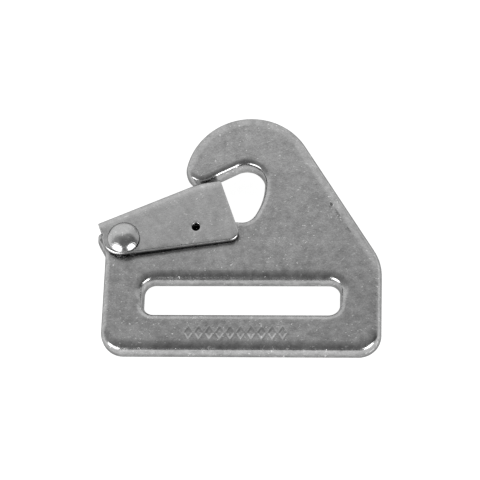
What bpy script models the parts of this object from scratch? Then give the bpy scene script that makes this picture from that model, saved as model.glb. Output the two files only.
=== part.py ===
"""Flat steel snap hook for 50 mm webbing, with a sprung sheet-metal gate on a domed rivet.

The hook lies flat: +X runs along the webbing slot, +Y points to the hook's crown and +Z out of its front
face. The origin is the middle of the slot's lower wall, where the webbing bears, at mid thickness.
Sizes are in millimetres and become metres where a mesh is made.
"""
import math

import bmesh
import bpy
from mathutils import Matrix, Vector

MM = 0.001

# Plate
THICKNESS = 5.5
EDGE_ROUND = 1.2
HALF_WIDTH = 36.9
BAR_DEPTH = 10.75
CORNER_R = 6.0
SLOT_HALF_WIDTH = 26.0
SLOT_HEIGHT = 9.25
SLOT_CORNER_R = 3.0
SLOPE = 31.8
SHOULDER_R = 13.0
CROWN_CENTRE = Vector((1.15, 39.75))
CROWN_R = 17.5
NOSE_R = 4.4
NOSE_ANGLE = 27.0
THROAT_CENTRE = Vector((0.2, 37.3))
THROAT_R = 5.1
THROAT_SIDE_R = 17.4
THROAT_SIDE_SWEEP = 30.8
THROAT_FOOT_R = 4.3

# Hinge lug, at the plate's upper left
PIVOT = Vector((-31.5, 20.1))
LUG_R = 5.3
LUG_LEFT = -39.1
LUG_CORNER_R = 1.25
LUG_STEP_TOP = 20.7
LUG_STEP_FOOT = 16.8
LUG_STEP_TOP_R = 1.5
LUG_STEP_FOOT_R = 3.0

# Gate: a folded channel, with its web towards the nose
GATE_ANGLE = 24.1
SHEET = 1.5
WEB_OUTER = 7.32
FOLD_R = 2.0
FOLD_INNER_R = 0.5
GATE_LEFT_TOP = PIVOT + Vector((-7.45, 4.69))
WEB_KNEE = 24.3
GATE_LENGTH = 29.95
TIP_DROP = 1.2
GATE_FOOT = PIVOT + Vector((31.25, 0.25))
GATE_FOOT_R = 2.2
GATE_HEEL_CENTRE = PIVOT + Vector((-0.9, 0.45))
GATE_HEEL_R = 4.85
GATE_HEEL_START = 172.0
GATE_BOTTOM_ANGLE = 8.2
REAR_GAP = 0.35
HINGE_GAP = 0.95
TIP_GAP = 0.3
TAPER_LENGTH = 32.0
LOCK_HOLE = PIVOT + Vector((19.09, 3.43))
LOCK_HOLE_R = 1.1
LOCK_HOLE_PLATE_R = 1.3

# Rivet
SHANK_R = 2.4
BORE_R = 2.7
HEAD_R = 4.3
HEAD_HEIGHT = 2.6
HEAD_RIM = 0.25
HEAD_Z = 5.5
TAIL_R = 3.7
TAIL_HEIGHT = 1.3
TAIL_Z = -4.9

# Spring: a torsion coil on the rivet, in a pocket in the plate's front face
WIRE_R = 0.35
COIL_R = 3.3
COIL_TURNS = 1.4
COIL_LOW = 2.1
COIL_HIGH = 3.2
LEG_ANGLE = 14.0
LEG_END = 14.0
LEG_END_Z = 2.95
ANCHOR_Z = -0.2
ANCHOR_BEND_R = 0.8
POCKET_R = 4.0
POCKET_FLOOR = 1.3
ANCHOR_HOLE_R = 0.5
ANCHOR_HOLE_FLOOR = -0.8

ARC_STEP = 9.0
CLOSEST = 0.05
ROUND_SIDES = 40
CUT_PAST = 2.0

HALF_THICKNESS = THICKNESS / 2
REAR_FACE_Z = -(HALF_THICKNESS + REAR_GAP + SHEET)


def polar(angle, radius=1.0):
    """The point at an angle in degrees, counted from +X."""
    turn = math.radians(angle)
    return Vector((math.cos(turn), math.sin(turn))) * radius


GATE_ALONG = polar(GATE_ANGLE)
GATE_UP = polar(GATE_ANGLE + 90)


def gate_point(along, up):
    """The plate-plane point at a place along the gate from its pivot, and up towards the web."""
    return PIVOT + GATE_ALONG * along + GATE_UP * up


def arc(centre, radius, start, end, step=ARC_STEP):
    """Points of an arc from one angle to another, both ends included."""
    count = max(2, math.ceil(abs(end - start) / step))
    return [centre + polar(start + (end - start) * i / count, radius) for i in range(count + 1)]


def fillet(before, corner, after, radius, step=ARC_STEP):
    """Points of the arc that rounds a corner between two straight stretches."""
    back = (before - corner).normalized()
    ahead = (after - corner).normalized()
    half = math.acos(max(-1.0, min(1.0, back.dot(ahead)))) / 2
    centre = corner + (back + ahead).normalized() * radius / math.sin(half)
    reach = radius / math.tan(half)
    first = corner + back * reach - centre
    last = corner + ahead * reach - centre
    start = math.degrees(math.atan2(first.y, first.x))
    sweep = math.degrees(math.atan2(last.y, last.x)) - start
    sweep = (sweep + 180) % 360 - 180
    return arc(centre, radius, start, start + sweep, step)


def plate_outline():
    """The plate's edge, anticlockwise from its lower left corner."""
    low = CORNER_R - BAR_DEPTH
    side = HALF_WIDTH - CORNER_R
    points = arc(Vector((-side, low)), CORNER_R, 180, 270)
    points += arc(Vector((side, low)), CORNER_R, 270, 360)

    # The shoulder's arc touches the right side and the line that is tangent to the crown.
    slope = polar(SLOPE)
    shoulder_x = HALF_WIDTH - SHOULDER_R
    shoulder_y = (CROWN_CENTRE.dot(slope) + CROWN_R - SHOULDER_R - shoulder_x * slope.x) / slope.y
    points += arc(Vector((shoulder_x, shoulder_y)), SHOULDER_R, 0, SLOPE)

    # The nose's arc touches the crown from inside and the straight stretch above the gate.
    nose_up = polar(90 + NOSE_ANGLE)
    throat_end = THROAT_CENTRE + nose_up * THROAT_R
    nose_line = throat_end + nose_up * NOSE_R - CROWN_CENTRE
    nose_back = polar(180 + NOSE_ANGLE)
    half_b = nose_line.dot(nose_back)
    reach = -half_b + math.sqrt(half_b ** 2 - nose_line.length_squared + (CROWN_R - NOSE_R) ** 2)
    nose_centre = CROWN_CENTRE + nose_line + nose_back * reach
    nose_join = nose_centre - CROWN_CENTRE
    join_angle = math.degrees(math.atan2(nose_join.y, nose_join.x)) % 360
    points += arc(CROWN_CENTRE, CROWN_R, SLOPE, join_angle)
    points += arc(nose_centre, NOSE_R, join_angle, 270 + NOSE_ANGLE)

    # The throat: a round top, a long flat arc on the right and a round foot.
    points += arc(THROAT_CENTRE, THROAT_R, 90 + NOSE_ANGLE, 0)
    side_centre = THROAT_CENTRE + Vector((THROAT_R - THROAT_SIDE_R, 0))
    points += arc(side_centre, THROAT_SIDE_R, 0, -THROAT_SIDE_SWEEP, ARC_STEP / 2)
    foot_centre = side_centre + polar(-THROAT_SIDE_SWEEP, THROAT_SIDE_R - THROAT_FOOT_R)

    # The ledge under the gate is the line that touches the throat's foot and the lug.
    span = foot_centre - PIVOT
    spread = math.acos((THROAT_FOOT_R + LUG_R) / span.length)
    ledge = math.degrees(spread - math.atan2(span.x, span.y))
    points += arc(foot_centre, THROAT_FOOT_R, -THROAT_SIDE_SWEEP, -90 + ledge)
    points += arc(PIVOT, LUG_R, 90 + ledge, 90 + GATE_ANGLE)

    # The lug's left side stands proud of the plate's side, down to a short slanted step.
    lug_run = (LUG_LEFT - points[-1].x) / GATE_ALONG.x
    lug_top = points[-1] + GATE_ALONG * lug_run
    step_top = Vector((LUG_LEFT, LUG_STEP_TOP))
    step_foot = Vector((-HALF_WIDTH, LUG_STEP_FOOT))
    below = Vector((-HALF_WIDTH, 0))
    points += fillet(points[-1], lug_top, step_top, LUG_CORNER_R)
    points += fillet(lug_top, step_top, step_foot, LUG_STEP_TOP_R)
    points += fillet(step_top, step_foot, below, LUG_STEP_FOOT_R)
    return points


def slot_outline():
    """The webbing slot, with rounded ends."""
    side = SLOT_HALF_WIDTH - SLOT_CORNER_R
    top = SLOT_HEIGHT - SLOT_CORNER_R
    points = arc(Vector((side, SLOT_CORNER_R)), SLOT_CORNER_R, 270, 360, ARC_STEP * 2)
    points += arc(Vector((side, top)), SLOT_CORNER_R, 0, 90, ARC_STEP * 2)
    points += arc(Vector((-side, top)), SLOT_CORNER_R, 90, 180, ARC_STEP * 2)
    points += arc(Vector((-side, SLOT_CORNER_R)), SLOT_CORNER_R, 180, 270, ARC_STEP * 2)
    return points


def cheek_outline():
    """The gate seen from the front, anticlockwise from the top left end of its web."""
    tip_top = gate_point(GATE_LENGTH, WEB_OUTER - TIP_DROP)
    heel_end = GATE_HEEL_CENTRE + polar(270 + GATE_BOTTOM_ANGLE, GATE_HEEL_R)
    points = [GATE_LEFT_TOP]
    points += arc(GATE_HEEL_CENTRE, GATE_HEEL_R, GATE_HEEL_START, 270 + GATE_BOTTOM_ANGLE)
    points += fillet(heel_end, GATE_FOOT, tip_top, GATE_FOOT_R, ARC_STEP * 2)
    points += [tip_top, gate_point(WEB_KNEE, WEB_OUTER)]
    return points


def channel_outline():
    """The gate's inside: the cut runs past the sheet everywhere but under the web."""
    web_inner = WEB_OUTER - SHEET
    run_out = (GATE_LENGTH - WEB_KNEE) * 2
    past = GATE_LENGTH
    return [
        gate_point(-past, web_inner),
        gate_point(-past, -past),
        gate_point(WEB_KNEE + run_out, -past),
        gate_point(WEB_KNEE + run_out, web_inner - TIP_DROP * 2),
        gate_point(WEB_KNEE, web_inner),
    ]


def front_face(point):
    """Height of the gate's front face: it leans in from the hinge to the free end."""
    along = (Vector(point) - PIVOT).dot(GATE_ALONG)
    gap = HINGE_GAP + (TIP_GAP - HINGE_GAP) * along / TAPER_LENGTH
    return HALF_THICKNESS + gap + SHEET


def tidy(mesh):
    """Welds a mesh's loose caps and turns its faces out."""
    bm = bmesh.new()
    bm.from_mesh(mesh)
    bmesh.ops.remove_doubles(bm, verts=bm.verts, dist=1e-6)
    bmesh.ops.recalc_face_normals(bm, faces=bm.faces)
    bm.to_mesh(mesh)
    bm.free()


def flat_shape(name, outlines, half_depth, collection, edge_round=0.0):
    """A flat outline, with any holes, as a mesh of the given half depth. Rounded edges swell out past it."""
    curve = bpy.data.curves.new(name, "CURVE")
    curve.dimensions = "2D"
    curve.fill_mode = "BOTH"
    curve.extrude = half_depth - edge_round
    curve.bevel_depth = edge_round
    curve.bevel_resolution = 1
    for outline in outlines:
        spline = curve.splines.new("POLY")
        spline.points.add(len(outline) - 1)
        spline.use_cyclic_u = True
        for point, place in zip(spline.points, outline):
            point.co = (place.x, place.y, 0, 1)
    return curve_to_mesh(name, curve, collection)


def curve_to_mesh(name, curve, collection):
    """Replaces a curve drawn in millimetres by the mesh it makes, in metres."""
    source = bpy.data.objects.new(name + "_curve", curve)
    collection.objects.link(source)
    bpy.context.view_layer.update()
    evaluated = source.evaluated_get(bpy.context.evaluated_depsgraph_get())
    mesh = bpy.data.meshes.new_from_object(evaluated)
    mesh.name = name
    mesh.transform(Matrix.Scale(MM, 4))
    tidy(mesh)
    result = bpy.data.objects.new(name, mesh)
    collection.objects.link(result)
    result.matrix_world = source.matrix_world
    bpy.data.objects.remove(source)
    return result


def distinct(points):
    """Drops points that all but repeat the one before."""
    return [p for i, p in enumerate(points) if (p - points[i - 1]).length > CLOSEST]


def inset(outline, distance):
    """Moves an anticlockwise outline's points inwards."""
    points = distinct(outline)
    moved = []
    for i, point in enumerate(points):
        along = (points[(i + 1) % len(points)] - points[i - 1]).normalized()
        moved.append(point + Vector((-along.y, along.x)) * distance)
    return moved


def lean_and_fold(obj, inset, fold_line, radius, segments):
    """Sets a block's two faces to the gate's, less an inset, and rounds its edges along the web."""
    bm = bmesh.new()
    bm.from_mesh(obj.data)
    for vert in bm.verts:
        place = vert.co.xy / MM
        height = front_face(place) - inset if vert.co.z > 0 else REAR_FACE_Z + inset
        vert.co.z = height * MM
    web_edges = []
    for edge in bm.edges:
        ups = [(v.co.xy / MM - PIVOT).dot(GATE_UP) for v in edge.verts]
        level = (edge.verts[0].co.z > 0) == (edge.verts[1].co.z > 0)
        sides = [face.normal.z for face in edge.link_faces]
        if level and min(ups) > fold_line and min(abs(s) for s in sides) < 0.5 < max(abs(s) for s in sides):
            web_edges.append(edge)
    bmesh.ops.bevel(bm, geom=web_edges, offset=radius * MM, segments=segments, profile=0.5, affect="EDGES")
    bmesh.ops.recalc_face_normals(bm, faces=bm.faces)
    bm.to_mesh(obj.data)
    bm.free()


def cylinder_cutter(name, centre, radius, low, high, collection):
    """A round cutter along Z between two heights."""
    mesh = bpy.data.meshes.new(name)
    bm = bmesh.new()
    bmesh.ops.create_cone(
        bm, cap_ends=True, segments=ROUND_SIDES, radius1=radius * MM, radius2=radius * MM, depth=(high - low) * MM
    )
    bm.to_mesh(mesh)
    bm.free()
    cutter = bpy.data.objects.new(name, mesh)
    cutter.location = (centre.x * MM, centre.y * MM, (low + high) / 2 * MM)
    collection.objects.link(cutter)
    mark_cutter(cutter)
    return cutter


def mark_cutter(cutter):
    """Shows a cutter as wire and leaves it out of renders."""
    cutter.hide_render = True
    cutter.display_type = "WIRE"


def cut(obj, cutter):
    """Takes a cutter's shape out of a part."""
    modifier = obj.modifiers.new(cutter.name, "BOOLEAN")
    modifier.operation = "DIFFERENCE"
    modifier.solver = "EXACT"
    modifier.object = cutter


def finish_surface(obj, material, sharp_angle=35):
    """Gives a part its material and shades its round faces smooth."""
    obj.data.materials.clear()
    obj.data.materials.append(material)
    obj.data.shade_smooth()
    obj.data.set_sharp_from_angle(angle=math.radians(sharp_angle))


def steel(name, colour, roughness):
    """A plain metal finish."""
    material = bpy.data.materials.new(name)
    material.use_nodes = True
    surface = material.node_tree.nodes["Principled BSDF"]
    surface.inputs["Base Color"].default_value = (*colour, 1)
    surface.inputs["Roughness"].default_value = roughness
    surface.inputs["Metallic"].default_value = 1.0
    return material


def make_plate(parts, cutters):
    """The stamped hook body, with its slot, throat, hinge lug and spring pocket."""
    outlines = [inset(plate_outline(), EDGE_ROUND), inset(slot_outline(), -EDGE_ROUND)]
    plate = flat_shape("hook_plate", outlines, HALF_THICKNESS, parts, EDGE_ROUND)
    through = HALF_THICKNESS + CUT_PAST
    cut(plate, cylinder_cutter("plate_bore", PIVOT, BORE_R, -through, through, cutters))
    cut(plate, cylinder_cutter("spring_pocket", PIVOT, POCKET_R, POCKET_FLOOR, through, cutters))
    anchor = PIVOT + polar(coil_start_angle(), COIL_R)
    cut(plate, cylinder_cutter("anchor_hole", anchor, ANCHOR_HOLE_R, ANCHOR_HOLE_FLOOR, COIL_LOW, cutters))
    cut(plate, cylinder_cutter("plate_lock_hole", LOCK_HOLE, LOCK_HOLE_PLATE_R, -through, through, cutters))
    finish_surface(plate, steel("plate_steel", (0.50, 0.50, 0.50), 0.34))
    return plate


def make_gate(parts, cutters):
    """The folded sheet gate, closed against the nose."""
    gate = flat_shape("gate", [distinct(cheek_outline())], HALF_THICKNESS, parts)
    lean_and_fold(gate, 0.0, WEB_OUTER - TIP_DROP - 0.1, FOLD_R, 4)
    channel = flat_shape("gate_channel", [channel_outline()], HALF_THICKNESS, cutters)
    lean_and_fold(channel, SHEET, WEB_OUTER - SHEET - TIP_DROP * 2 - 0.1, FOLD_INNER_R, 2)
    mark_cutter(channel)
    cut(gate, channel)
    low = REAR_FACE_Z - CUT_PAST
    high = front_face(PIVOT) + CUT_PAST
    cut(gate, cylinder_cutter("gate_bore", PIVOT, BORE_R, low, high, cutters))
    cut(gate, cylinder_cutter("gate_lock_hole", LOCK_HOLE, LOCK_HOLE_R, low, high, cutters))
    gate.data.transform(gate.matrix_world)
    finish_surface(gate, steel("gate_steel", (0.58, 0.58, 0.58), 0.30))
    return gate


def make_rivet(parts):
    """The rivet: a domed head in front, a plain shank and a low formed tail behind."""
    profile = [(0.0, HEAD_Z + HEAD_HEIGHT)]
    cap = HEAD_HEIGHT - HEAD_RIM
    sphere = (HEAD_R ** 2 + cap ** 2) / (2 * cap)
    sweep = math.asin(HEAD_R / sphere)
    for i in range(1, 9):
        turn = sweep * i / 8
        profile.append((sphere * math.sin(turn), HEAD_Z + HEAD_HEIGHT - sphere * (1 - math.cos(turn))))
    profile += [(HEAD_R, HEAD_Z), (SHANK_R, HEAD_Z), (SHANK_R, TAIL_Z), (TAIL_R, TAIL_Z)]
    for i in range(1, 6):
        turn = math.radians(90 * i / 5)
        profile.append((TAIL_R * math.cos(turn), TAIL_Z - TAIL_HEIGHT * math.sin(turn)))
    mesh = bpy.data.meshes.new("rivet")
    edges = [(i, i + 1) for i in range(len(profile) - 1)]
    mesh.from_pydata([(x * MM, 0, z * MM) for x, z in profile], edges, [])
    rivet = bpy.data.objects.new("rivet", mesh)
    rivet.location = (PIVOT.x * MM, PIVOT.y * MM, 0)
    parts.objects.link(rivet)
    screw = rivet.modifiers.new("turned", "SCREW")
    screw.steps = ROUND_SIDES
    screw.render_steps = ROUND_SIDES
    screw.use_merge_vertices = True
    screw.merge_threshold = 0.00001
    finish_surface(rivet, steel("rivet_steel", (0.62, 0.62, 0.62), 0.22))
    return rivet


def coil_end_angle():
    """Where the spring's moving leg leaves the coil, measured at the pivot."""
    return 90 + GATE_ANGLE + LEG_ANGLE


def coil_start_angle():
    """Where the coil starts, over the anchor hole."""
    return coil_end_angle() + 360 * COIL_TURNS


def spring_route():
    """The wire's centre line: anchor tip, coil rising clockwise, and the leg that lifts the web."""
    start = coil_start_angle()
    foot = polar(start, COIL_R)
    bend_turn = math.degrees(ANCHOR_BEND_R / COIL_R)
    route = [(foot, ANCHOR_Z), (foot, COIL_LOW - ANCHOR_BEND_R)]
    for i in range(1, 4):
        turn = math.radians(90 * i / 4)
        swing = polar(start - bend_turn * (1 - math.cos(turn)), COIL_R)
        route.append((swing, COIL_LOW - ANCHOR_BEND_R * (1 - math.sin(turn))))
    count = 28
    for i in range(count + 1):
        share = i / count
        angle = start - bend_turn + (coil_end_angle() - start + bend_turn) * share
        route.append((polar(angle, COIL_R), COIL_LOW + (COIL_HIGH - COIL_LOW) * share))

    # The leg leaves on the coil's tangent and bends to lie along the web's underside.
    leg_up = WEB_OUTER - SHEET - WIRE_R - 0.3
    leave = polar(coil_end_angle(), COIL_R)
    along = leave.dot(GATE_ALONG)
    up = leave.dot(GATE_UP)
    slope = math.tan(math.radians(LEG_ANGLE))
    knee = along + (leg_up - up) / slope
    for i in range(1, 11):
        place = along + (LEG_END - along) * i / 10
        straight = up + (place - along) * slope
        softened = min(straight, leg_up)
        if abs(place - knee) < 2.0:
            softened = straight - (place - knee + 2.0) ** 2 * slope / 8.0
        fall = max(0.0, min(1.0, (place - 4.0) / (LEG_END - 6.0)))
        drop = fall * fall * (3 - 2 * fall)
        route.append((GATE_ALONG * place + GATE_UP * softened, COIL_HIGH + (LEG_END_Z - COIL_HIGH) * drop))
    return route


def make_spring(parts):
    """The torsion spring that closes the gate."""
    curve = bpy.data.curves.new("gate_spring", "CURVE")
    curve.dimensions = "3D"
    curve.bevel_depth = WIRE_R
    curve.bevel_resolution = 2
    curve.use_fill_caps = True
    route = spring_route()
    spline = curve.splines.new("POLY")
    spline.points.add(len(route) - 1)
    for point, (place, height) in zip(spline.points, route):
        point.co = (place.x, place.y, height, 1)
    spring = curve_to_mesh("gate_spring", curve, parts)
    spring.location = (PIVOT.x * MM, PIVOT.y * MM, 0)
    finish_surface(spring, steel("spring_wire", (0.45, 0.45, 0.45), 0.30))
    return spring


def put_origin_on_pivot(obj, empty):
    """Parents a moving part to the empty on the gate's hinge axis."""
    obj.parent = empty
    obj.matrix_parent_inverse = empty.matrix_world.inverted()


def main():
    for old in list(bpy.data.objects):
        bpy.data.objects.remove(old)
    parts = bpy.data.collections.new("snap_hook")
    cutters = bpy.data.collections.new("cutters")
    bpy.context.scene.collection.children.link(parts)
    bpy.context.scene.collection.children.link(cutters)

    hinge = bpy.data.objects.new("gate_hinge_axis", None)
    hinge.location = (PIVOT.x * MM, PIVOT.y * MM, 0)
    parts.objects.link(hinge)
    bpy.context.view_layer.update()

    make_plate(parts, cutters)
    make_rivet(parts)
    make_spring(parts)
    put_origin_on_pivot(make_gate(parts, cutters), hinge)


main()
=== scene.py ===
"""Looks of the flat steel snap hook: plate, folded gate, rivet and torsion spring.

Shapes are drawn in millimetres in the CAD model's frame and become metres where a mesh is made.
"""

import math

import bmesh
import bpy
import numpy as np
from mathutils import Matrix, Vector, noise
from mathutils.geometry import delaunay_2d_cdt


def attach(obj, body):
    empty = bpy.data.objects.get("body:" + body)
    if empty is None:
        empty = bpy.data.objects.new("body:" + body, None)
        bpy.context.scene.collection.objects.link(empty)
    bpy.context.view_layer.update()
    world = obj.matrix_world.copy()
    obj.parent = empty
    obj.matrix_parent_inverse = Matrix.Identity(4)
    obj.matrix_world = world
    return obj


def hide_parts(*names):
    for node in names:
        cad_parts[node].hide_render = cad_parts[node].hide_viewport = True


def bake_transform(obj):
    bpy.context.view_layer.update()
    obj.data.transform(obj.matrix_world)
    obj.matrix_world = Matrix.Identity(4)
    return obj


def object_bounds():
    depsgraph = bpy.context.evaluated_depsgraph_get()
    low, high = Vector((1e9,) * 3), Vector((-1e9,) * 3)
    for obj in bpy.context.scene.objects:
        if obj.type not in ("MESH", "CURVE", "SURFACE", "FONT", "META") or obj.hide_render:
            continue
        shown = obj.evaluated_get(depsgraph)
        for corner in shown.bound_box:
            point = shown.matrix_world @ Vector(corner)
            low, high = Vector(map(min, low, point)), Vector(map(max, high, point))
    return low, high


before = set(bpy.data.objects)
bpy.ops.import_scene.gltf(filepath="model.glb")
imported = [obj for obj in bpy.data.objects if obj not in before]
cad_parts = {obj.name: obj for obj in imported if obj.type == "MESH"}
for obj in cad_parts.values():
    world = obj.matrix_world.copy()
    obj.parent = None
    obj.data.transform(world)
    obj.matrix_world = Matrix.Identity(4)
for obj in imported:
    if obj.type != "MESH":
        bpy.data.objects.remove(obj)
CAD_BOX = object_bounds()
MM = 0.001

# Plate, as in the CAD model
HALF_THICKNESS = 2.75
HALF_WIDTH = 36.9
BAR_DEPTH = 10.75
CORNER_R = 6.0
SLOT_HALF_WIDTH = 26.0
SLOT_HEIGHT = 9.25
SLOT_CORNER_R = 3.0
SLOPE = 31.8
SHOULDER_R = 13.0
CROWN_CENTRE = Vector((1.15, 39.75))
CROWN_R = 17.5
NOSE_R = 4.4
NOSE_ANGLE = 27.0
THROAT_CENTRE = Vector((0.2, 37.3))
THROAT_R = 5.1
THROAT_SIDE_R = 17.4
THROAT_SIDE_SWEEP = 30.8
THROAT_FOOT_R = 4.3

# Hinge lug
PIVOT = Vector((-31.5, 20.1))
LUG_R = 5.3
LUG_LEFT = -39.1
LUG_CORNER_R = 1.25
LUG_STEP_TOP = 20.7
LUG_STEP_FOOT = 16.8
LUG_STEP_TOP_R = 1.5
LUG_STEP_FOOT_R = 3.0

# Gate
GATE_ANGLE = 24.1
SHEET = 1.5
WEB_OUTER = 7.32
FOLD_R = 2.0
GATE_LEFT_TOP = PIVOT + Vector((-7.45, 4.69))
WEB_KNEE = 24.3
GATE_LENGTH = 29.95
TIP_DROP = 1.2
GATE_FOOT = PIVOT + Vector((31.25, 0.25))
GATE_FOOT_R = 2.2
GATE_HEEL_CENTRE = PIVOT + Vector((-0.9, 0.45))
GATE_HEEL_R = 4.85
GATE_HEEL_START = 172.0
GATE_BOTTOM_ANGLE = 8.2
REAR_FACE_Z = -4.6
HINGE_GAP = 0.95
TIP_GAP = 0.3
TAPER_LENGTH = 32.0
LOCK_HOLE = PIVOT + Vector((19.09, 3.43))
LOCK_HOLE_R = 1.1
LOCK_HOLE_PLATE_R = 1.3

# Rivet
SHANK_R = 2.4
BORE_R = 2.7
HEAD_R = 4.3
HEAD_HEIGHT = 2.6
HEAD_RIM = 0.25
HEAD_Z = 5.5
TAIL_R = 3.7
TAIL_HEIGHT = 1.3
TAIL_Z = -4.9

# Spring, its pocket and its anchor hole
WIRE_R = 0.35
COIL_R = 3.3
COIL_TURNS = 1.4
COIL_LOW = 2.1
COIL_HIGH = 3.2
LEG_ANGLE = 14.0
LEG_END = 14.0
LEG_END_Z = 2.95
ANCHOR_Z = -0.2
ANCHOR_BEND_R = 0.8
POCKET_R = 4.0
POCKET_FLOOR = 1.3
ANCHOR_HOLE_R = 0.5
ANCHOR_HOLE_FLOOR = -0.8

# Finish of the plate's front edges, from the wall up: (first tilt, last tilt, length, steps)
ROLL = ((84, 60, 1.9, 6), (60, 50, 0.25, 2), (50, 20, 1.0, 6), (20, 0, 1.6, 6))
ROLL_REACH = 3.1
LEFT_REACH = 2.0
THROAT_REACH = 2.0
THROAT_MIDDLE = Vector((-2.0, 33.0))
LEDGE_REACH = 0.3
SLOT_TOP_REACH = 2.9
SLOT_FOOT_REACH = 1.9
SLOT_REAR_REACH = 0.8
REAR_REACH = 0.9
REAR_DEPTH = 0.9
HOLE_ROUND = 0.2

# Finish of the gate's sheared edges: (place along and down the blank, size, rounding) where hammered
SHEAR_ROUND = 0.32
SHEAR_DEPTH = 0.8
SHEAR_BACK_DEPTH = 0.18
# Down the gate's sheared edge: the share of the sheet left unshaded, and the share where the painted shade is
# full
BRIGHT_SHARE = 0.5
DARK_SHARE = 0.62
HAMMERED = (((-4.6, -9.2), 3.4, 1.0), ((28.2, -18.2), 2.4, 1.5))
GATE_HOLE_ROUND = 0.24
GATE_HOLE_BRIGHT = 0.36
GATE_HOLE_BACK_ROUND = 0.1

# Values of the edge attribute: a wall, a wall inside, a wall band painted dark as shade on the gate's inner
# edge, and a small hole's inside painted black as shade
WALL_EDGE = 1.0
INNER_EDGE = 0.5
PAINTED_SHADE_EDGE = 1.5
HOLE_SHADE_EDGE = 2.0

# Blank stamped lozenges along the bar
MARK_COUNT = 10
MARK_PITCH = 2.75
MARK_CENTRE = Vector((-1.1, -5.65))
MARK_HALF_WIDTH = 1.1
MARK_HALF_HEIGHT = 1.75
MARK_DEPTH = 0.09

# Scratches: (cell, half length, half width, seed, share of the cells that have one)
SCRATCHES = (
    (4.2, 1.7, 0.09, 3.3, 0.6),
    (2.4, 0.8, 0.13, 11.7, 0.5),
    (1.5, 0.35, 0.17, 27.1, 0.36),
)
EDGE_TINT = (0.35, 0.35, 0.35, 1)

# Studio: brightness in its dark middle, round it and elsewhere, and the angles where they meet
DARK = 0.20
GREY = 0.42
PALE = 1.0
DARK_WAY = Vector((0.10, -0.86, 0.50))
DARK_CORE = 25.0
DARK_INNER = 78.0
DARK_OUTER = 91.0
RIGHT_SHADE = 0.25
HORIZON = 0.8

# Low panels: (name, azimuth, elevation, width, height, power)
PANELS = (
    ("panel_left", 228, 17, 0.68, 0.44, 5.4),
    ("panel_right", 315, 17, 0.60, 0.44, 4.8),
)
PANEL_TARGET = Vector((-0.001, 0.022, 0))
PANEL_DISTANCE = 0.9

# Floor
FLOOR_GAP = 0.00005
FLOOR_GREY = 0.30
FLOOR_GLOW = 0.92

# Camera
CAMERA_TARGET = Vector((-0.958, 21.705, 0)) * MM
CAMERA_BACK = Vector((0.08457, -0.38147, 0.92050))
CAMERA_DISTANCE = 0.5645
CAMERA_LENS = 158.5

# Sizes on the folded gate's flat blank: along each fold, over the web, and from edge to edge
FOLD_SPAN = 3.0
WEB_SPAN = 6.0
BLANK_SPAN = 2 * FOLD_SPAN + WEB_SPAN


def polar(angle, radius=1.0):
    """The point at an angle in degrees, counted from +X."""
    turn = math.radians(angle)
    return Vector((math.cos(turn), math.sin(turn))) * radius


GATE_ALONG = polar(GATE_ANGLE)
GATE_UP = polar(GATE_ANGLE + 90)


def gate_point(along, up):
    """The plate-plane point at a place along the gate from its pivot, and up towards the web."""
    return PIVOT + GATE_ALONG * along + GATE_UP * up


def arc(centre, radius, start, end, step=3.0):
    """Points of an arc from one angle to another, both ends included."""
    count = max(2, math.ceil(abs(end - start) / step))
    return [centre + polar(start + (end - start) * i / count, radius) for i in range(count + 1)]


def fillet(before, corner, after, radius):
    """Points of the arc that rounds a corner between two straight stretches."""
    back = (before - corner).normalized()
    ahead = (after - corner).normalized()
    half = math.acos(max(-1.0, min(1.0, back.dot(ahead)))) / 2
    centre = corner + (back + ahead).normalized() * radius / math.sin(half)
    reach = radius / math.tan(half)
    first = corner + back * reach - centre
    last = corner + ahead * reach - centre
    start = math.degrees(math.atan2(first.y, first.x))
    sweep = math.degrees(math.atan2(last.y, last.x)) - start
    return arc(centre, radius, start, start + (sweep + 180) % 360 - 180)


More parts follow.
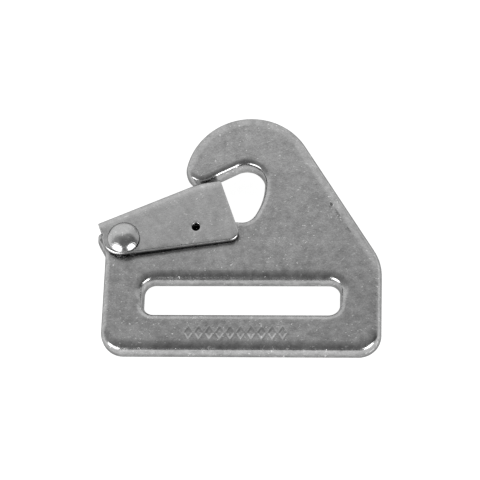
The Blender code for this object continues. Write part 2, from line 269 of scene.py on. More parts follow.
def plate_outline():
    """The plate's edge, anticlockwise from its lower left corner."""
    low = CORNER_R - BAR_DEPTH
    side = HALF_WIDTH - CORNER_R
    points = arc(Vector((-side, low)), CORNER_R, 180, 270)
    points += arc(Vector((side, low)), CORNER_R, 270, 360)
    slope = polar(SLOPE)
    shoulder_x = HALF_WIDTH - SHOULDER_R
    shoulder_y = (CROWN_CENTRE.dot(slope) + CROWN_R - SHOULDER_R - shoulder_x * slope.x) / slope.y
    points += arc(Vector((shoulder_x, shoulder_y)), SHOULDER_R, 0, SLOPE)
    nose_up = polar(90 + NOSE_ANGLE)
    throat_end = THROAT_CENTRE + nose_up * THROAT_R
    nose_line = throat_end + nose_up * NOSE_R - CROWN_CENTRE
    nose_back = polar(180 + NOSE_ANGLE)
    half_b = nose_line.dot(nose_back)
    reach = -half_b + math.sqrt(half_b ** 2 - nose_line.length_squared + (CROWN_R - NOSE_R) ** 2)
    nose_centre = CROWN_CENTRE + nose_line + nose_back * reach
    nose_join = nose_centre - CROWN_CENTRE
    join_angle = math.degrees(math.atan2(nose_join.y, nose_join.x)) % 360
    points += arc(CROWN_CENTRE, CROWN_R, SLOPE, join_angle)
    points += arc(nose_centre, NOSE_R, join_angle, 270 + NOSE_ANGLE)
    points += arc(THROAT_CENTRE, THROAT_R, 90 + NOSE_ANGLE, 0)
    side_centre = THROAT_CENTRE + Vector((THROAT_R - THROAT_SIDE_R, 0))
    points += arc(side_centre, THROAT_SIDE_R, 0, -THROAT_SIDE_SWEEP)
    foot_centre = side_centre + polar(-THROAT_SIDE_SWEEP, THROAT_SIDE_R - THROAT_FOOT_R)
    span = foot_centre - PIVOT
    spread = math.acos((THROAT_FOOT_R + LUG_R) / span.length)
    ledge = math.degrees(spread - math.atan2(span.x, span.y))
    points += arc(foot_centre, THROAT_FOOT_R, -THROAT_SIDE_SWEEP, -90 + ledge)
    points += arc(PIVOT, LUG_R, 90 + ledge, 90 + GATE_ANGLE)
    lug_run = (LUG_LEFT - points[-1].x) / GATE_ALONG.x
    lug_top = points[-1] + GATE_ALONG * lug_run
    step_top = Vector((LUG_LEFT, LUG_STEP_TOP))
    step_foot = Vector((-HALF_WIDTH, LUG_STEP_FOOT))
    points += fillet(points[-1], lug_top, step_top, LUG_CORNER_R)
    points += fillet(lug_top, step_top, step_foot, LUG_STEP_TOP_R)
    points += fillet(step_top, step_foot, Vector((-HALF_WIDTH, 0)), LUG_STEP_FOOT_R)
    return points


def slot_outline():
    """The webbing slot, with rounded ends."""
    side = SLOT_HALF_WIDTH - SLOT_CORNER_R
    top = SLOT_HEIGHT - SLOT_CORNER_R
    points = arc(Vector((side, SLOT_CORNER_R)), SLOT_CORNER_R, 270, 360)
    points += arc(Vector((side, top)), SLOT_CORNER_R, 0, 90)
    points += arc(Vector((-side, top)), SLOT_CORNER_R, 90, 180)
    points += arc(Vector((-side, SLOT_CORNER_R)), SLOT_CORNER_R, 180, 270)
    return points


def web_height(along):
    """Height of the web's outer face over the pivot: it drops a little past its knee."""
    return WEB_OUTER - TIP_DROP * max(0.0, along - WEB_KNEE) / (GATE_LENGTH - WEB_KNEE)


def front_height(along):
    """Height of the gate's front face: it leans in from the hinge to the free end."""
    return HALF_THICKNESS + HINGE_GAP + (TIP_GAP - HINGE_GAP) * along / TAPER_LENGTH + SHEET


def to_blank(point):
    """A place on the gate's front, seen from the front, as a place on the flat blank."""
    along = (point - PIVOT).dot(GATE_ALONG)
    over = (point - PIVOT).dot(GATE_UP) - web_height(along) + FOLD_R
    if over <= 0:
        return Vector((along, over))
    return Vector((along, FOLD_SPAN * math.asin(min(1.0, over / FOLD_R)) / (math.pi / 2)))


def fold(along, across, depth):
    """Where a point of the blank lies on the folded gate, at a depth under its outer face."""
    top = web_height(along)
    front = front_height(along)
    bend = FOLD_R - depth
    mirror = across > BLANK_SPAN / 2
    reach = BLANK_SPAN - across if mirror else across
    outside = -1 if mirror else 1
    face = REAR_FACE_Z if mirror else front
    if reach <= 0:
        up = top - FOLD_R + reach
        height = face - outside * depth
    elif reach < FOLD_SPAN:
        turn = math.pi / 2 * reach / FOLD_SPAN
        up = top - FOLD_R + bend * math.sin(turn)
        height = face - outside * (FOLD_R - bend * math.cos(turn))
    else:
        share = (across - FOLD_SPAN) / WEB_SPAN
        up = top - depth
        height = front - FOLD_R + (REAR_FACE_Z + FOLD_R - front + FOLD_R) * share
    place = gate_point(along, up)
    return Vector((place.x, place.y, height))


def blank_outline():
    """The gate's flat blank: the front cheek below, the web, and the rear cheek above."""
    tip_top = gate_point(GATE_LENGTH, WEB_OUTER - TIP_DROP)
    heel_end = GATE_HEEL_CENTRE + polar(270 + GATE_BOTTOM_ANGLE, GATE_HEEL_R)
    points = [GATE_LEFT_TOP]
    points += arc(GATE_HEEL_CENTRE, GATE_HEEL_R, GATE_HEEL_START, 270 + GATE_BOTTOM_ANGLE)
    points += fillet(heel_end, GATE_FOOT, tip_top, GATE_FOOT_R)
    points += [tip_top]
    front = [to_blank(p) for p in resample(points, 0.2, closed=False)]
    rear = [Vector((p.x, BLANK_SPAN - p.y)) for p in reversed(front)]
    return front + rear


def resample(outline, spacing, closed=True):
    """Even steps along an outline."""
    points = outline + outline[:1] if closed else outline
    steps = [(b - a).length for a, b in zip(points, points[1:])]
    total = sum(steps)
    count = round(total / spacing)
    result = []
    place = 0
    passed = 0.0
    for i in range(count + (0 if closed else 1)):
        target = min(total * i / count, total - 1e-9)
        while passed + steps[place] < target:
            passed += steps[place]
            place += 1
        result.append(points[place].lerp(points[place + 1], (target - passed) / steps[place]))
    return result


def normals(outline):
    """Unit normals that point to the left of the way round."""
    result = []
    for i, point in enumerate(outline):
        along = (outline[(i + 1) % len(outline)] - point).normalized() + (point - outline[i - 1]).normalized()
        result.append(Vector((-along.y, along.x)).normalized())
    return result


def reaches(outline, wanted, side=1):
    """How far each point may move inwards: less than the corner's radius, and changing slowly."""
    count = len(outline)
    room = []
    for i in range(count):
        a = outline[i] - outline[i - 1]
        b = outline[(i + 1) % count] - outline[i]
        turn = math.atan2(a.x * b.y - a.y * b.x, a.dot(b)) * side
        radius = a.length / turn if turn > 1e-4 else 1e3
        room.append(min(wanted(outline[i]), radius * 0.8))
    for direction in (1, -1):
        for i in range(2 * count):
            here = i * direction % count
            before = (here - direction) % count
            room[here] = min(room[here], room[before] + 0.35 * (outline[here] - outline[before]).length)
    return room


def inside(points, outline):
    """For each point, whether it lies inside a closed outline."""
    p = np.asarray(points, float)
    o = np.array([tuple(v) for v in outline], float)
    q = np.roll(o, -1, axis=0)
    result = np.zeros(len(p), bool)
    for (x0, y0), (x1, y1) in zip(o, q):
        crosses = (y0 > p[:, 1]) != (y1 > p[:, 1])
        if y0 != y1:
            result ^= crosses & (p[:, 0] < (x1 - x0) * (p[:, 1] - y0) / (y1 - y0) + x0)
    return result


class Skin:
    """A closed surface made of rings, bands between them and filled flats."""

    def __init__(self):
        self.places = []
        self.edges = []
        self.faces = []

    def ring(self, points, depth, edge=0.0):
        """A ring, or loose points, at one depth or at a depth for each point."""
        first = len(self.places)
        for i, point in enumerate(points):
            self.places.append((point.x, point.y, depth[i] if isinstance(depth, list) else depth))
            self.edges.append(edge)
        return list(range(first, first + len(points)))

    def band(self, low, high):
        """Quads between two rings of the same length."""
        for i in range(len(low)):
            self.faces.append((low[i - 1], low[i], high[i], high[i - 1]))

    def wall(self, outline, steps, side=1):
        """Bands through (insets, depth, edge) steps. Returns the first and the last ring."""
        across = normals(outline)
        rings = []
        for reach, depth, edge in steps:
            moved = [p + n * side * r for p, n, r in zip(outline, across, reach)]
            rings.append(self.ring(moved, depth, edge))
        for a, b in zip(rings, rings[1:]):
            self.band(a, b)
        return rings[0], rings[-1]

    def fill(self, rings, inner, depth, margin=0.25):
        """Triangles between an outer ring and its holes, through some inner points."""
        outlines = [[Vector(self.places[i][:2]) for i in ring] for ring in rings]
        kept = []
        if len(inner):
            inner = np.asarray(inner, float)
            keep = inside(inner, outlines[0])
            for hole in outlines[1:]:
                keep &= ~inside(inner, hole)
            inner = inner[keep]
            rim = np.array([tuple(p) for o in outlines for p in o])
            for point in inner:
                if np.min(np.abs(rim - point).max(axis=1)) > margin:
                    kept.append(Vector(point))
        extra = self.ring(kept, depth)
        ids = [i for ring in rings for i in ring] + extra
        edges = []
        start = 0
        for ring in rings:
            edges += [(start + i, start + (i + 1) % len(ring)) for i in range(len(ring))]
            start += len(ring)
        flat = [Vector(self.places[i][:2]) for i in ids]
        verts, _, faces, sources, _, _ = delaunay_2d_cdt(flat, edges, [], 0, 1e-6)
        middles = [sum((verts[i] for i in face), Vector((0, 0))) / len(face) for face in faces]
        keep = inside([tuple(m) for m in middles], outlines[0])
        for hole in outlines[1:]:
            keep &= ~inside([tuple(m) for m in middles], hole)
        bad = [tuple(round(x, 2) for x in verts[i]) for i, source in enumerate(sources) if not source]
        if bad:
            raise ValueError(f"crossing {bad[:12]} {depth}")
        for face, good in zip(faces, keep):
            if good:
                self.faces.append(tuple(ids[sources[i][0]] for i in face))

    def build(self, name, place):
        """The object, with each point put where place says."""
        mesh = bpy.data.meshes.new(name)
        mesh.from_pydata([place(*p) * MM for p in self.places], [], self.faces)
        mesh.attributes.new("edge", "FLOAT", "POINT").data.foreach_set("value", self.edges)
        return finish_mesh(name, mesh)


def finish_mesh(name, mesh, sharp=40):
    """Welds a mesh, turns its faces out, shades it smooth and makes its object."""
    bm = bmesh.new()
    bm.from_mesh(mesh)
    bmesh.ops.remove_doubles(bm, verts=bm.verts, dist=1e-6)
    bmesh.ops.recalc_face_normals(bm, faces=bm.faces)
    bm.to_mesh(mesh)
    bm.free()
    mesh.shade_smooth()
    mesh.set_sharp_from_angle(angle=math.radians(sharp))
    obj = bpy.data.objects.new(name, mesh)
    bpy.context.scene.collection.objects.link(obj)
    return obj


def grid(low, high, step):
    """Points of a grid whose rows are set off from each other by half a step."""
    columns = int((high.x - low.x) / step)
    rows = int((high.y - low.y) / step)
    points = []
    for j in range(rows + 1):
        shift = 0.5 * (j % 2)
        points += [(low.x + (i + shift) * step, low.y + j * step) for i in range(columns + 1)]
    return points


def rounding(room, level, depth, direction, steps=9, edge=1.0):
    """Wall steps of an elliptical edge, from the face down to the wall."""
    depths = depth if isinstance(depth, list) else [depth] * len(room)
    result = []
    for i in range(steps + 1):
        turn = math.pi / 2 * (1 - i / steps)
        share = 1 - math.cos(turn)
        heights = [level - direction * d * (1 - math.sin(turn)) for d in depths]
        result.append(([r * share for r in room], heights, edge * math.cos(turn)))
    return result


def rolled(room, level):
    """Wall steps of the pressed front edge, from the face down to the wall."""
    points = [(0.0, 0.0, 1.0)]
    for first, last, length, count in ROLL:
        for i in range(count):
            tilt = math.radians(first + (last - first) * (i + 0.5) / count)
            inward = points[-1][0] + math.cos(tilt) * length / count
            points.append((inward, points[-1][1] + math.sin(tilt) * length / count, math.sin(tilt)))
    reach, rise, _ = points[-1]
    points[-1] = (reach, rise, 0.0)
    return [([r * x / reach for r in room], level - rise + z, edge) for x, z, edge in reversed(points)]


def circle(centre, radius, spacing=0.3):
    """A closed round outline."""
    count = max(24, round(2 * math.pi * radius / spacing))
    return [centre + polar(360 * i / count, radius) for i in range(count)]


def mark_depth(x, y):
    """How deep the stamped lozenges press the face in."""
    along = (x - MARK_CENTRE.x) / MARK_PITCH + MARK_COUNT / 2 - 0.5
    nearest = min(max(round(along), 0), MARK_COUNT - 1)
    across = abs(along - nearest) * MARK_PITCH / MARK_HALF_WIDTH
    up = abs(y - MARK_CENTRE.y) / MARK_HALF_HEIGHT
    share = max(0.0, min(1.0, (1.0 - (across ** 1.15 + up ** 1.15)) / 0.45))
    lip = math.exp(-((across + up - 1.12) / 0.16) ** 2)
    return MARK_DEPTH * share * share * (3 - 2 * share) - 0.02 * lip


def plate_place(x, y, z):
    """The plate's real surface: nearly flat, a little sunk and wavy from the press."""
    share = max(0.0, z / HALF_THICKNESS)
    wave = noise.noise(Vector((x * 0.06, y * 0.06, 3.1))) * 0.05
    wave += noise.noise(Vector((x * 0.2, y * 0.2, 7.7))) * 0.010
    z += (wave - 0.03 - mark_depth(x, y)) * share ** 3 if z > 0 else 0.0
    return Vector((x, y, z))


def roll_reach(point):
    """How far the edge rounding reaches over the face: least under the gate, most outside."""
    under = to_blank(point)
    if 4 < under.x < 27.5 and -16 < under.y < 0:
        return LEDGE_REACH
    in_throat = (point - THROAT_MIDDLE).length
    share = max(0.0, min(1.0, (in_throat - 14.0) / 5.0))
    reach = THROAT_REACH + (ROLL_REACH - THROAT_REACH) * share
    if point.x < -30 and point.y > -4:
        reach = LEFT_REACH
    return min(reach, 0.5 * ((point - PIVOT).length - POCKET_R) + 0.25)


def coil_end_angle():
    """Where the spring's moving leg leaves the coil, measured at the pivot."""
    return 90 + GATE_ANGLE + LEG_ANGLE


def coil_start_angle():
    """Where the coil starts, over the anchor hole."""
    return coil_end_angle() + 360 * COIL_TURNS


def make_plate():
    """The stamped plate: rolled front edges, broken rear edges, holes and the spring's pocket."""
    skin = Skin()
    top = HALF_THICKNESS
    outline = resample(plate_outline(), 0.4)
    slot = resample(slot_outline(), 0.4)
    room = reaches(outline, roll_reach)
    rear_room = reaches(outline, lambda p: REAR_REACH)
    steps = rolled(room, top)
    steps += reversed(rounding(rear_room, -top, REAR_DEPTH, -1, steps=5))
    front_outer, rear_outer = skin.wall(outline, steps)
    slot_room = reaches(slot, lambda p: SLOT_TOP_REACH if p.y > 4 else SLOT_FOOT_REACH, -1)
    slot_steps = rolled(slot_room, top)
    slot_steps += reversed(rounding([SLOT_REAR_REACH] * len(slot), -top, REAR_DEPTH, -1, steps=5))
    front_slot, rear_slot = skin.wall(slot, slot_steps, -1)

    lock = circle(LOCK_HOLE, LOCK_HOLE_PLATE_R)
    lock_room = [HOLE_ROUND] * len(lock)
    # The lock hole's inside is painted black as shade.
    lock_steps = rounding(lock_room, top, HOLE_ROUND, 1, 3, HOLE_SHADE_EDGE)
    lock_steps += reversed(rounding(lock_room, -top, HOLE_ROUND, -1, 3, HOLE_SHADE_EDGE))
    front_lock, rear_lock = skin.wall(lock, lock_steps, -1)

    pocket = circle(PIVOT, POCKET_R)
    pocket_steps = rounding([HOLE_ROUND] * len(pocket), top, HOLE_ROUND, 1, 3)
    pocket_steps.append(([0.0] * len(pocket), POCKET_FLOOR, INNER_EDGE))
    front_pocket, floor_pocket = skin.wall(pocket, pocket_steps, -1)
    bore = circle(PIVOT, BORE_R)
    bore_steps = [([0.0] * len(bore), POCKET_FLOOR, INNER_EDGE)]
    bore_steps += reversed(rounding([HOLE_ROUND] * len(bore), -top, HOLE_ROUND, -1, 3))
    floor_bore, rear_bore = skin.wall(bore, bore_steps, -1)
    anchor = circle(PIVOT + polar(coil_start_angle(), COIL_R), ANCHOR_HOLE_R, 0.13)
    anchor_steps = [([0.0] * len(anchor), z, INNER_EDGE) for z in (POCKET_FLOOR, ANCHOR_HOLE_FLOOR)]
    floor_anchor, end_anchor = skin.wall(anchor, anchor_steps, -1)

    coarse = grid(Vector((-HALF_WIDTH, -BAR_DEPTH)), Vector((HALF_WIDTH, 57)), 0.9)
    half_row = Vector((MARK_COUNT * MARK_PITCH / 2 + 0.4, MARK_HALF_HEIGHT + 0.5))
    low, high = MARK_CENTRE - half_row, MARK_CENTRE + half_row
    fine = grid(low, high, 0.17)
    coarse = [p for p in coarse if not (low.x < p[0] < high.x and low.y < p[1] < high.y)]
    skin.fill([front_outer, front_slot, front_lock, front_pocket], coarse + fine, top)
    behind = grid(low - Vector((22, 5)), Vector((37, 57)), 2.0)
    skin.fill([rear_outer, rear_slot, rear_lock, rear_bore], behind, -top)
    skin.fill([floor_pocket, floor_bore, floor_anchor], [], POCKET_FLOOR)
    skin.fill([end_anchor], [], ANCHOR_HOLE_FLOOR)
    return skin.build("plate_body", plate_place)


def shear_reach(point):
    """The gate's sheared edges are all but square, save for its hammered heel and free corner."""
    across = point.y if point.y < BLANK_SPAN / 2 else BLANK_SPAN - point.y
    reach = SHEAR_ROUND
    for (along, down), size, most in HAMMERED:
        near = max(0.0, 1.0 - math.hypot(point.x - along, across - down) / size)
        reach = max(reach, SHEAR_ROUND + (most - SHEAR_ROUND) * min(1.0, near * 2.2))
    return reach


def make_gate():
    """The gate: its flat blank with sheared, rounded edges, folded into a channel."""
    skin = Skin()
    outline = resample(blank_outline(), 0.35)
    room = reaches(outline, shear_reach)
    back_room = [min(r, SHEAR_ROUND) * 0.6 for r in room]
    square = [0.0] * len(room)
    drop = [min(SHEAR_DEPTH, r * 0.8) for r in room]
    steps = rounding(room, 0.0, drop, -1, 6)
    # The inner part of the sheared edge is painted dark, as the shade in the gap between the gate and the
    # plate.
    steps.append((square, [max(d + 0.02, SHEET * BRIGHT_SHARE) for d in drop], WALL_EDGE))
    steps.append((square, [max(d + 0.04, SHEET * DARK_SHARE) for d in drop], PAINTED_SHADE_EDGE))
    steps += reversed(rounding(back_room, SHEET, SHEAR_BACK_DEPTH, 1, 3, PAINTED_SHADE_EDGE))
    outer, inner = skin.wall(outline, steps)
    outers, inners = [outer], [inner]
    for centre, radius in ((PIVOT, BORE_R), (LOCK_HOLE, LOCK_HOLE_R)):
        for mirror in (False, True):
            place = to_blank(centre)
            if mirror:
                place.y = BLANK_SPAN - place.y
            hole = circle(place, radius, 0.25)
            hole_room = [GATE_HOLE_ROUND] * len(hole)
            hole_back_room = [GATE_HOLE_BACK_ROUND] * len(hole)
            hole_steps = rounding(hole_room, 0.0, GATE_HOLE_ROUND, -1, 5, 0.0)
            # Below the bright rim the hole's wall is painted black as shade.
            hole_steps.append(([0.0] * len(hole), GATE_HOLE_BRIGHT, HOLE_SHADE_EDGE))
            hole_steps += reversed(rounding(hole_back_room, SHEET, GATE_HOLE_BACK_ROUND, 1, 2, HOLE_SHADE_EDGE))
            a, b = skin.wall(hole, hole_steps, -1)
            outers.append(a)
            inners.append(b)
    rows = [-16 + i for i in range(16)] + [FOLD_SPAN * i / 8 for i in range(9)]
    rows += [FOLD_SPAN + WEB_SPAN * i / 6 for i in range(1, 4)]
    rows += [BLANK_SPAN - row for row in rows if row < BLANK_SPAN / 2]
    points = [(-6 + 0.9 * i, row) for row in rows for i in range(42)]
    skin.fill(outers, points, 0.0, 0.2)
    skin.fill(inners, points, SHEET, 0.2)
    return skin.build("gate_channel", fold)


def turned(name, profile, sides, place):
    """A closed turned solid from (radius, height) points that start and end on the axis."""
    bm = bmesh.new()
    rings = []
    for radius, height in profile:
        if radius == 0:
            rings.append([bm.verts.new(place(0.0, 0.0, height) * MM)])
        else:
            around = [polar(360 * i / sides, radius) for i in range(sides)]
            rings.append([bm.verts.new(place(p.x, p.y, height) * MM) for p in around])
    for low, high in zip(rings, rings[1:]):
        for i in range(sides):
            j = i + 1
            corners = [low[i % len(low)], low[j % len(low)], high[j % len(high)], high[i % len(high)]]
            bm.faces.new(list(dict.fromkeys(corners)))
    mesh = bpy.data.meshes.new(name)
    bm.to_mesh(mesh)
    bm.free()
    mesh.attributes.new("edge", "FLOAT", "POINT")
    return finish_mesh(name, mesh)


def rivet_place(x, y, z):
    """The rivet's head is hammered, so it isn't quite round or even."""
    share = max(0.0, min(1.0, (z - HEAD_Z - 0.3) / 0.6))
    dent = noise.noise(Vector((x * 0.55, y * 0.55, 1.7))) * 0.07
    dent += noise.noise(Vector((x * 1.4, y * 1.4, 5.2))) * 0.02
    return Vector((x + PIVOT.x, y + PIVOT.y, z + (dent - 0.06) * share))


def make_rivet():
    """The rivet: hammered dome, shank and a low formed tail."""
    cap = HEAD_HEIGHT - HEAD_RIM
    sphere = (HEAD_R ** 2 + cap ** 2) / (2 * cap)
    sweep = math.asin(HEAD_R / sphere)
    profile = [(0.0, HEAD_Z + HEAD_HEIGHT)]
    for i in range(1, 25):
        turn = sweep * i / 24
        profile.append((sphere * math.sin(turn), HEAD_Z + HEAD_HEIGHT - sphere * (1 - math.cos(turn))))
    profile += [(HEAD_R, HEAD_Z + 0.12), (HEAD_R - 0.12, HEAD_Z), (SHANK_R, HEAD_Z), (SHANK_R, TAIL_Z)]
    profile += [(TAIL_R - 0.1, TAIL_Z), (TAIL_R, TAIL_Z - 0.1)]
    for i in range(1, 17):
        turn = math.radians(90 * i / 16)
        radius = TAIL_R * math.cos(turn) if i < 16 else 0.0
        profile.append((radius, TAIL_Z - 0.1 - (TAIL_HEIGHT - 0.1) * math.sin(turn)))
    return turned("rivet_pin", profile, 72, rivet_place)


def spring_route():
    """The wire's centre line: anchor tip, coil rising clockwise, and the leg that lifts the web."""
    start = coil_start_angle()
    foot = polar(start, COIL_R)
    bend_turn = math.degrees(ANCHOR_BEND_R / COIL_R)
    route = [(foot, ANCHOR_Z), (foot, COIL_LOW - ANCHOR_BEND_R)]
    for i in range(1, 8):
        turn = math.radians(90 * i / 8)
        swing = polar(start - bend_turn * (1 - math.cos(turn)), COIL_R)
        route.append((swing, COIL_LOW - ANCHOR_BEND_R * (1 - math.sin(turn))))
    count = 84
    for i in range(count + 1):
        share = i / count
        angle = start - bend_turn + (coil_end_angle() - start + bend_turn) * share
        route.append((polar(angle, COIL_R), COIL_LOW + (COIL_HIGH - COIL_LOW) * share))
    leg_up = WEB_OUTER - SHEET - WIRE_R - 0.3
    leave = polar(coil_end_angle(), COIL_R)
    along = leave.dot(GATE_ALONG)
    up = leave.dot(GATE_UP)
    slope = math.tan(math.radians(LEG_ANGLE))
    knee = along + (leg_up - up) / slope
    for i in range(1, 31):
        place = along + (LEG_END - along) * i / 30
        straight = up + (place - along) * slope
        softened = min(straight, leg_up)
        if abs(place - knee) < 2.0:
            softened = straight - (place - knee + 2.0) ** 2 * slope / 8.0
        fall = max(0.0, min(1.0, (place - 4.0) / (LEG_END - 6.0)))
        drop = fall * fall * (3 - 2 * fall)
        route.append((GATE_ALONG * place + GATE_UP * softened, COIL_HIGH + (LEG_END_Z - COIL_HIGH) * drop))
    return [Vector((p.x + PIVOT.x, p.y + PIVOT.y, z)) for p, z in route]


def make_spring():
    """The torsion spring's wire, with rounded tips."""
    route = spring_route()
    sides = 14
    bm = bmesh.new()
    rings = []
    side = Vector((1, 0, 0))
    first = (route[1] - route[0]).normalized()
    last = (route[-1] - route[-2]).normalized()
    stops = [(route[0] + first * 0.12 * k, 1 - 0.45 * (1 - k) ** 2) for k in (0, 0.5)]
    stops += [(p, 1.0) for p in [route[0] + first * 0.14] + route[1:-1] + [route[-1] - last * 0.14]]
    stops += [(route[-1] - last * 0.12 * k, 1 - 0.45 * (1 - k) ** 2) for k in (0.5, 0)]
    for i, (point, share) in enumerate(stops):
        along = stops[min(i + 1, len(stops) - 1)][0] - stops[max(i - 1, 0)][0]
        along.normalize()
        side = (side - along * side.dot(along)).normalized()
        other = along.cross(side)
        ring = []
        for k in range(sides):
            turn = 2 * math.pi * k / sides
            offset = (side * math.cos(turn) + other * math.sin(turn)) * WIRE_R * share
            ring.append(bm.verts.new((point + offset) * MM))
        rings.append(ring)
    for a, b in zip(rings, rings[1:]):
        for k in range(sides):
            bm.faces.new((a[k - 1], a[k], b[k], b[k - 1]))
    bm.faces.new(rings[0])
    bm.faces.new(rings[-1])
    mesh = bpy.data.meshes.new("spring_coil")
    bm.to_mesh(mesh)
    bm.free()
    mesh.attributes.new("edge", "FLOAT", "POINT")
    return finish_mesh("spring_coil", mesh, 50)


class Nodes:
    """Short calls for building a material's node tree."""

    def __init__(self, tree):
        self.tree = tree

    def link(self, source, target):
        self.tree.links.new(source, target)

    def value(self, socket, value):
        """Sets an input, or links one."""
        if isinstance(value, (int, float, tuple)):
            socket.default_value = value
        else:
            self.link(value, socket)

    def math(self, operation, a, b=0.0, c=0.0, clamp=False):
        node = self.tree.nodes.new("ShaderNodeMath")
        node.operation = operation
        node.use_clamp = clamp
        self.value(node.inputs[0], a)
        self.value(node.inputs[1], b)
        self.value(node.inputs[2], c)
        return node.outputs[0]

    def spread(self, value, low, high, new_low=0.0, new_high=1.0):
        """A smooth change from one value to another over a range."""
        node = self.tree.nodes.new("ShaderNodeMapRange")
        node.interpolation_type = "SMOOTHSTEP"
        self.value(node.inputs[0], value)
        for i, bound in enumerate((low, high, new_low, new_high)):
            self.value(node.inputs[i + 1], bound)
        return node.outputs[0]

    def noise(self, vector, scale, detail, rough):
        node = self.tree.nodes.new("ShaderNodeTexNoise")
        self.link(vector, node.inputs["Vector"])
        node.inputs["Scale"].default_value = scale
        node.inputs["Detail"].default_value = detail
        node.inputs["Roughness"].default_value = rough
        return node.outputs[0]

    def vector_math(self, operation, a, b=None, scale=None):
        node = self.tree.nodes.new("ShaderNodeVectorMath")
        node.operation = operation
        self.value(node.inputs[0], a)
        if b is not None:
            self.value(node.inputs[1], b)
        if scale is not None:
            self.value(node.inputs[3], scale)
        return node.outputs[0]

    def scratches(self, vector, cell, half_length, half_width, seed, share):
        """Short straight scratches, at most one in each cell of a grid, each turned its own way."""
        shifted = self.vector_math("ADD", vector, (seed, seed * 1.7, seed * 0.3))
        voronoi = self.tree.nodes.new("ShaderNodeTexVoronoi")
        voronoi.inputs["Scale"].default_value = 1.0 / cell
        self.link(shifted, voronoi.inputs["Vector"])
        local = self.vector_math("SUBTRACT", shifted, voronoi.outputs["Position"])
        colour = self.tree.nodes.new("ShaderNodeSeparateColor")
        self.link(voronoi.outputs["Color"], colour.inputs[0])
        turn = self.tree.nodes.new("ShaderNodeVectorRotate")
        turn.rotation_type = "Z_AXIS"
        self.link(local, turn.inputs["Vector"])
        self.link(self.math("MULTIPLY", colour.outputs[0], 6.283), turn.inputs["Angle"])
        parts = self.tree.nodes.new("ShaderNodeSeparateXYZ")
        self.link(turn.outputs[0], parts.inputs[0])
        across = self.math("ABSOLUTE", parts.outputs[1])
        line = self.spread(across, half_width, half_width * 0.25)
        reach = self.math("MULTIPLY", colour.outputs[1], half_length)
        ends = self.spread(self.math("SUBTRACT", self.math("ABSOLUTE", parts.outputs[0]), reach), 0.0, -0.3)
        height = self.math("ABSOLUTE", parts.outputs[2])
        ends = self.math("MULTIPLY", ends, self.spread(height, 0.7, 0.35))
        chosen = self.math("LESS_THAN", colour.outputs[2], share)
        return self.math("MULTIPLY", self.math("MULTIPLY", line, ends), chosen)


def steel(name, colour, roughness, grain=1.0, nicks=1.0, edge_grain=1.0, cut=0.0):
    """Bright zinc plate: cloudy, finely grained, with nicks, short scratches and lighter cut edges; painted
    shade turns it nearly black where the edge attribute runs over one.
    """
    material = bpy.data.materials.new(name)
    material.use_nodes = True
    tree = material.node_tree
    surface = tree.nodes["Principled BSDF"]
    n = Nodes(tree)
    where = tree.nodes.new("ShaderNodeTexCoord").outputs["Object"]
    mm = n.vector_math("SCALE", where, scale=1000.0)
    edge = tree.nodes.new("ShaderNodeAttribute")
    edge.attribute_name = "edge"
    edge = edge.outputs["Fac"]

    clouds = n.noise(mm, 0.16, 4.0, 0.6)
    mottle = n.noise(mm, 0.62, 5.0, 0.66)
    grain_field = n.noise(mm, 2.2, 3.0, 0.6)
    flecks = n.spread(n.noise(n.vector_math("ADD", mm, (31, 7, 13)), 1.15, 1.0, 0.5), 0.67, 0.74)
    pits = n.noise(mm, 7.0, 2.0, 0.5)
    marks = flecks
    for cell, half_length, half_width, seed, share in SCRATCHES:
        marks = n.math("MAXIMUM", marks, n.scratches(mm, cell, half_length, half_width, seed, share))
    worn = n.spread(n.noise(mm, 0.23, 3.0, 0.65), 0.42, 0.66)
    marks = n.math("MULTIPLY", marks, n.spread(worn, 0.0, 1.0, 0.35, 1.0))

    tone = n.math("MULTIPLY_ADD", n.math("SUBTRACT", clouds, 0.5), 0.5, 1.0)
    tone = n.math("MULTIPLY_ADD", n.math("SUBTRACT", mottle, 0.5), 0.95 * grain, tone)
    tone = n.math("MULTIPLY_ADD", n.math("SUBTRACT", grain_field, 0.5), 0.6 * grain, tone)
    tone = n.math("MULTIPLY_ADD", marks, 0.9 * nicks, tone)
    tone = n.math("MULTIPLY_ADD", n.spread(edge, 0.7, 1.0), cut, tone)
    # Painted shade: the colour goes nearly black on the gate's inner edge band and inside small holes,
    # standing in for the shadow there.
    tone = n.math("MULTIPLY", tone, n.spread(edge, 1.05, 1.7, 1.0, 0.06))
    shade = n.vector_math("SCALE", colour, scale=tone)
    n.link(shade, surface.inputs["Base Color"])
    surface.inputs["Metallic"].default_value = 1.0
    surface.inputs["Specular Tint"].default_value = EDGE_TINT

    rough = n.math("MULTIPLY_ADD", n.math("SUBTRACT", mottle, 0.5), 0.16, roughness)
    rough = n.math("MULTIPLY_ADD", n.math("SUBTRACT", clouds, 0.5), 0.10, rough)
    rough = n.math("MULTIPLY_ADD", marks, 0.10, rough)
    rough = n.math("MULTIPLY_ADD", n.spread(edge, 0.7, 1.0), cut, rough, clamp=True)
    n.link(rough, surface.inputs["Roughness"])

    height = n.math("MULTIPLY", mottle, 0.034 * grain)
    height = n.math("MULTIPLY_ADD", grain_field, 0.014 * grain, height)
    height = n.math("MULTIPLY_ADD", pits, 0.004 * grain, height)
    tumbled = n.math("MULTIPLY", n.noise(mm, 1.3, 3.0, 0.6), 0.05 * edge_grain)
    height = n.math("MULTIPLY_ADD", tumbled, edge, height)
    height = n.math("MULTIPLY_ADD", marks, -0.018 * nicks, height)
    bump = tree.nodes.new("ShaderNodeBump")
    bump.inputs["Strength"].default_value = 1.0
    bump.inputs["Distance"].default_value = MM
    n.link(height, bump.inputs["Height"])
    n.link(bump.outputs[0], surface.inputs["Normal"])
    return material


def paint(obj, material):
    """Gives an object its one material."""
    obj.data.materials.clear()
    obj.data.materials.append(material)


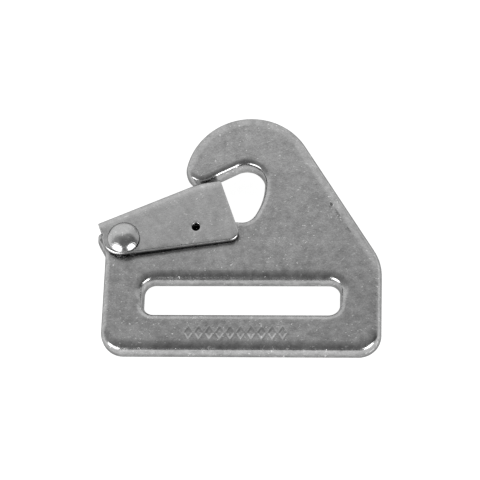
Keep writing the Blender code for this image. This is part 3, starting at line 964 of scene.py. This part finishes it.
def make_floor(height):
    """A plain white sheet under the hook."""
    bm = bmesh.new()
    bmesh.ops.create_grid(bm, x_segments=8, y_segments=8, size=4.0)
    mesh = bpy.data.meshes.new("floor")
    bm.to_mesh(mesh)
    bm.free()
    floor = bpy.data.objects.new("floor", mesh)
    floor.location = (0, 0, height)
    bpy.context.scene.collection.objects.link(floor)
    material = bpy.data.materials.new("floor_white")
    material.use_nodes = True
    surface = material.node_tree.nodes["Principled BSDF"]
    surface.inputs["Base Color"].default_value = (FLOOR_GREY, FLOOR_GREY, FLOOR_GREY, 1)
    surface.inputs["Roughness"].default_value = 1.0
    surface.inputs["Specular IOR Level"].default_value = 0.0
    surface.inputs["Emission Color"].default_value = (1, 1, 1, 1)
    surface.inputs["Emission Strength"].default_value = FLOOR_GLOW
    paint(floor, material)


def make_camera():
    """The camera, in front of the hook and a little below it, looking down at its face."""
    back = CAMERA_BACK.normalized()
    right = (Vector((1, 0, 0)) - back * back.x).normalized()
    up = back.cross(right)
    data = bpy.data.cameras.new("camera")
    data.sensor_width = 36
    data.lens = CAMERA_LENS
    data.clip_start = 0.05
    data.clip_end = 20
    camera = bpy.data.objects.new("camera", data)
    turn = Matrix((right, up, back)).transposed().to_4x4()
    camera.matrix_world = Matrix.Translation(CAMERA_TARGET + back * CAMERA_DISTANCE) @ turn
    bpy.context.scene.collection.objects.link(camera)
    bpy.context.scene.camera = camera


def make_light():
    """A grey studio, darkest in front, with a pale back, and two low white panels in front."""
    scene = bpy.context.scene
    world = bpy.data.worlds.new("studio")
    world.use_nodes = True
    scene.world = world
    tree = world.node_tree
    background = tree.nodes["Background"]
    background.inputs["Color"].default_value = (1, 1, 1, 1)
    n = Nodes(tree)
    way = tree.nodes.new("ShaderNodeTexCoord").outputs["Generated"]
    parts = tree.nodes.new("ShaderNodeSeparateXYZ")
    n.link(way, parts.inputs[0])
    dark = tree.nodes.new("ShaderNodeVectorMath")
    dark.operation = "DOT_PRODUCT"
    n.link(way, dark.inputs[0])
    dark.inputs[1].default_value = DARK_WAY.normalized()
    core = math.cos(math.radians(DARK_CORE))
    near = math.cos(math.radians(DARK_INNER))
    far = math.cos(math.radians(DARK_OUTER))
    level = n.spread(dark.outputs["Value"], far, near, PALE, GREY)
    level = n.math("SUBTRACT", level, n.spread(dark.outputs["Value"], near, core, 0.0, GREY - DARK))
    level = n.math("SUBTRACT", level, n.spread(parts.outputs[0], 0.25, 0.9, 0.0, RIGHT_SHADE))
    level = n.math("MAXIMUM", level, n.spread(parts.outputs[2], 0.20, 0.03, 0.0, HORIZON))
    n.link(level, background.inputs["Strength"])

    for name, azimuth, elevation, width, height, power in PANELS:
        data = bpy.data.lights.new(name, "AREA")
        data.shape = "RECTANGLE"
        data.size = width
        data.size_y = height
        data.energy = power
        light = bpy.data.objects.new(name, data)
        flat = polar(azimuth)
        lift = math.radians(elevation)
        way = Vector((flat.x * math.cos(lift), flat.y * math.cos(lift), math.sin(lift)))
        light.location = PANEL_TARGET + way * PANEL_DISTANCE
        light.rotation_euler = (-way).to_track_quat("-Z", "Y").to_euler()
        scene.collection.objects.link(light)
    scene.view_settings.view_transform = "Standard"


def main():
    plate = make_plate()
    paint(plate, steel("zinc_plate", (0.405, 0.405, 0.405), 0.21))
    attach(plate, "hook")
    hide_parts("hook_plate")

    gate = make_gate()
    paint(gate, steel("zinc_gate", (0.45, 0.45, 0.45), 0.24, grain=0.6, nicks=0.5, edge_grain=0.4, cut=0.25))
    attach(gate, "gate")
    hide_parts("gate")

    rivet = make_rivet()
    paint(rivet, steel("bright_rivet", (0.44, 0.44, 0.44), 0.24, grain=0.5, nicks=0.5))
    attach(rivet, "hook")
    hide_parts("rivet")

    spring = make_spring()
    paint(spring, steel("spring_wire", (0.42, 0.42, 0.42), 0.26, grain=0.4, nicks=0.3))
    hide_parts("gate_spring")
    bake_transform(spring)

    make_floor(CAD_BOX[0].z - FLOOR_GAP)
    make_camera()
    make_light()


main()
